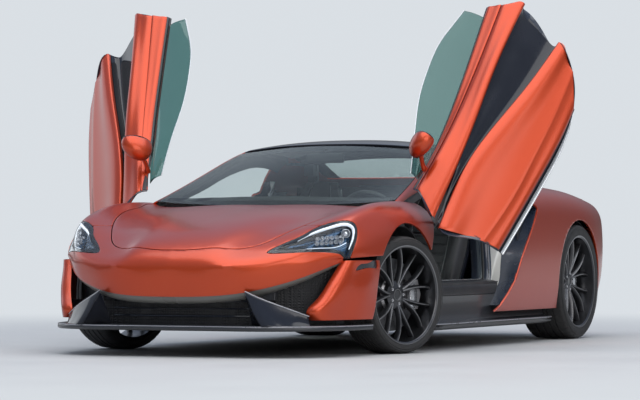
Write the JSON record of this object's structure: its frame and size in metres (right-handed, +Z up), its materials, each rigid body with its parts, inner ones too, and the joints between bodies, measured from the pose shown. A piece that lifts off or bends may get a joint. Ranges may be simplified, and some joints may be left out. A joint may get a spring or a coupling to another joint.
{
  "type": "supercar",
  "caption": "Low mid-engined two-seat coupe with a wedge nose, dihedral doors that swing up and forward, and steered front wheels.",
  "frame": {"origin": "on the ground under the middle of the standing car with its doors up", "axes": "+X forward, +Y to the car's left, +Z up"},
  "size_m": [4.53, 3.0782, 1.9619],
  "materials": {
    "paint": "metallic orange lacquer",
    "gloss_black": "gloss black",
    "glass": "tinted",
    "lamp_lens": "clear lens over dark inner lamp",
    "tail_lens": "red lens",
    "black_plastic": "matt black",
    "carbon": "woven carbon fibre",
    "frame_metal": "satin black coat",
    "cast_alloy": "cast",
    "seat_leather": "black leather",
    "wheel_leather": "black leather",
    "exhaust_steel": "brushed",
    "tyre": "rubber",
    "rim_alloy": "dark satin alloy",
    "disc_iron": "machined"
  },
  "bodies": {
    "chassis": {"fender_left": "paint", "fender_right": "paint", "nose_corners": "paint", "nose_band": "paint", "cheeks": "paint", "pillars": "paint", "quarter_left": "paint", "quarter_right": "paint", "engine_cover": "paint", "rear_bumper": "paint", "roof": "gloss_black", "splitter": "gloss_black", "diffuser": "gloss_black", "side_skirts": "gloss_black", "windscreen": "glass", "rear_glass": "glass", "headlamps": "lamp_lens", "tail_lamps": "tail_lens", "front_intake": "black_plastic", "rear_grille": "black_plastic", "wheel_houses": "black_plastic", "console": "black_plastic", "dashboard": "black_plastic", "luggage_tray": "black_plastic", "tub": "carbon", "cabin_frame": "frame_metal", "front_rails": "frame_metal", "front_beam": "frame_metal", "rear_frame": "frame_metal", "suspension_front": "cast_alloy", "suspension_rear": "cast_alloy", "rear_uprights": "cast_alloy", "engine": "cast_alloy", "seat_left": "seat_leather", "seat_right": "seat_leather", "exhaust": "exhaust_steel"},
    "door_left": {"door_left": "paint", "door_glass_left": "glass", "mirror_left": "paint"},
    "door_right": {"door_right": "paint", "door_glass_right": "glass", "mirror_right": "paint"},
    "front_lid": {"front_lid": "paint"},
    "steering_wheel": {"steering_wheel": "wheel_leather"},
    "steer_left": {"knuckle_front_left": "cast_alloy"},
    "steer_right": {"knuckle_front_right": "cast_alloy"},
    "wheel_front_left": {"tyre_front_left": "tyre", "rim_front_left": "rim_alloy", "hub_disc_front_left": "disc_iron"},
    "wheel_front_right": {"tyre_front_right": "tyre", "rim_front_right": "rim_alloy", "hub_disc_front_right": "disc_iron"},
    "wheel_rear_left": {"tyre_rear_left": "tyre", "rim_rear_left": "rim_alloy", "hub_disc_rear_left": "disc_iron"},
    "wheel_rear_right": {"tyre_rear_right": "tyre", "rim_rear_right": "rim_alloy", "hub_disc_rear_right": "disc_iron"}
  },
  "joints": [
    {"name": "door_left_hinge", "type": "hinge", "parent": "chassis", "child": "door_left", "pos_m": [0.915, 0.774, 0.7], "axis": [0.5039, 0.6509, -0.5679], "range_deg": [-68.5, 0]},
    {"name": "door_right_hinge", "type": "hinge", "parent": "chassis", "child": "door_right", "pos_m": [0.915, -0.774, 0.7], "axis": [-0.5039, 0.6509, 0.5679], "range_deg": [-68.5, 0]},
    {"name": "front_lid_hinge", "type": "hinge", "parent": "chassis", "child": "front_lid", "pos_m": [0.985, 0, 0.818], "axis": [0, -1, 0], "range_deg": [0, 45]},
    {"name": "steering", "type": "hinge", "parent": "chassis", "child": "steer_left", "pos_m": [1.21, 0.7865, 0.318], "axis": [0, 0, 1], "range_deg": [-15, 48]},
    {"name": "steering_right", "type": "hinge", "parent": "chassis", "child": "steer_right", "pos_m": [1.21, -0.7865, 0.318], "axis": [0, 0, 1], "range_deg": [-15, 48]},
    {"name": "steering_wheel_turn", "type": "hinge", "parent": "chassis", "child": "steering_wheel", "pos_m": [0.43, 0.365, 0.715], "axis": [-0.9272, 0, 0.3746], "range_deg": [-202, 644]},
    {"name": "wheel_front_left_spin", "type": "hinge", "parent": "steer_left", "child": "wheel_front_left", "pos_m": [1.22445, 0.83437, 0.318], "axis": [0.289, 0.9573, 0], "continuous": true},
    {"name": "wheel_rear_left_spin", "type": "hinge", "parent": "chassis", "child": "wheel_rear_left", "pos_m": [-1.46, 0.809, 0.352], "axis": [0, 1, 0], "continuous": true},
    {"name": "wheel_front_right_spin", "type": "hinge", "parent": "steer_right", "child": "wheel_front_right", "pos_m": [1.19555, -0.83437, 0.318], "axis": [0.289, 0.9573, 0], "continuous": true},
    {"name": "wheel_rear_right_spin", "type": "hinge", "parent": "chassis", "child": "wheel_rear_right", "pos_m": [-1.46, -0.809, 0.352], "axis": [0, 1, 0], "continuous": true}
  ],
  "couplings": [
    {"joint": "steering_right", "follows": "steering", "ratio": 1},
    {"joint": "steering_wheel_turn", "follows": "steering", "ratio": 13.4}
  ]
}
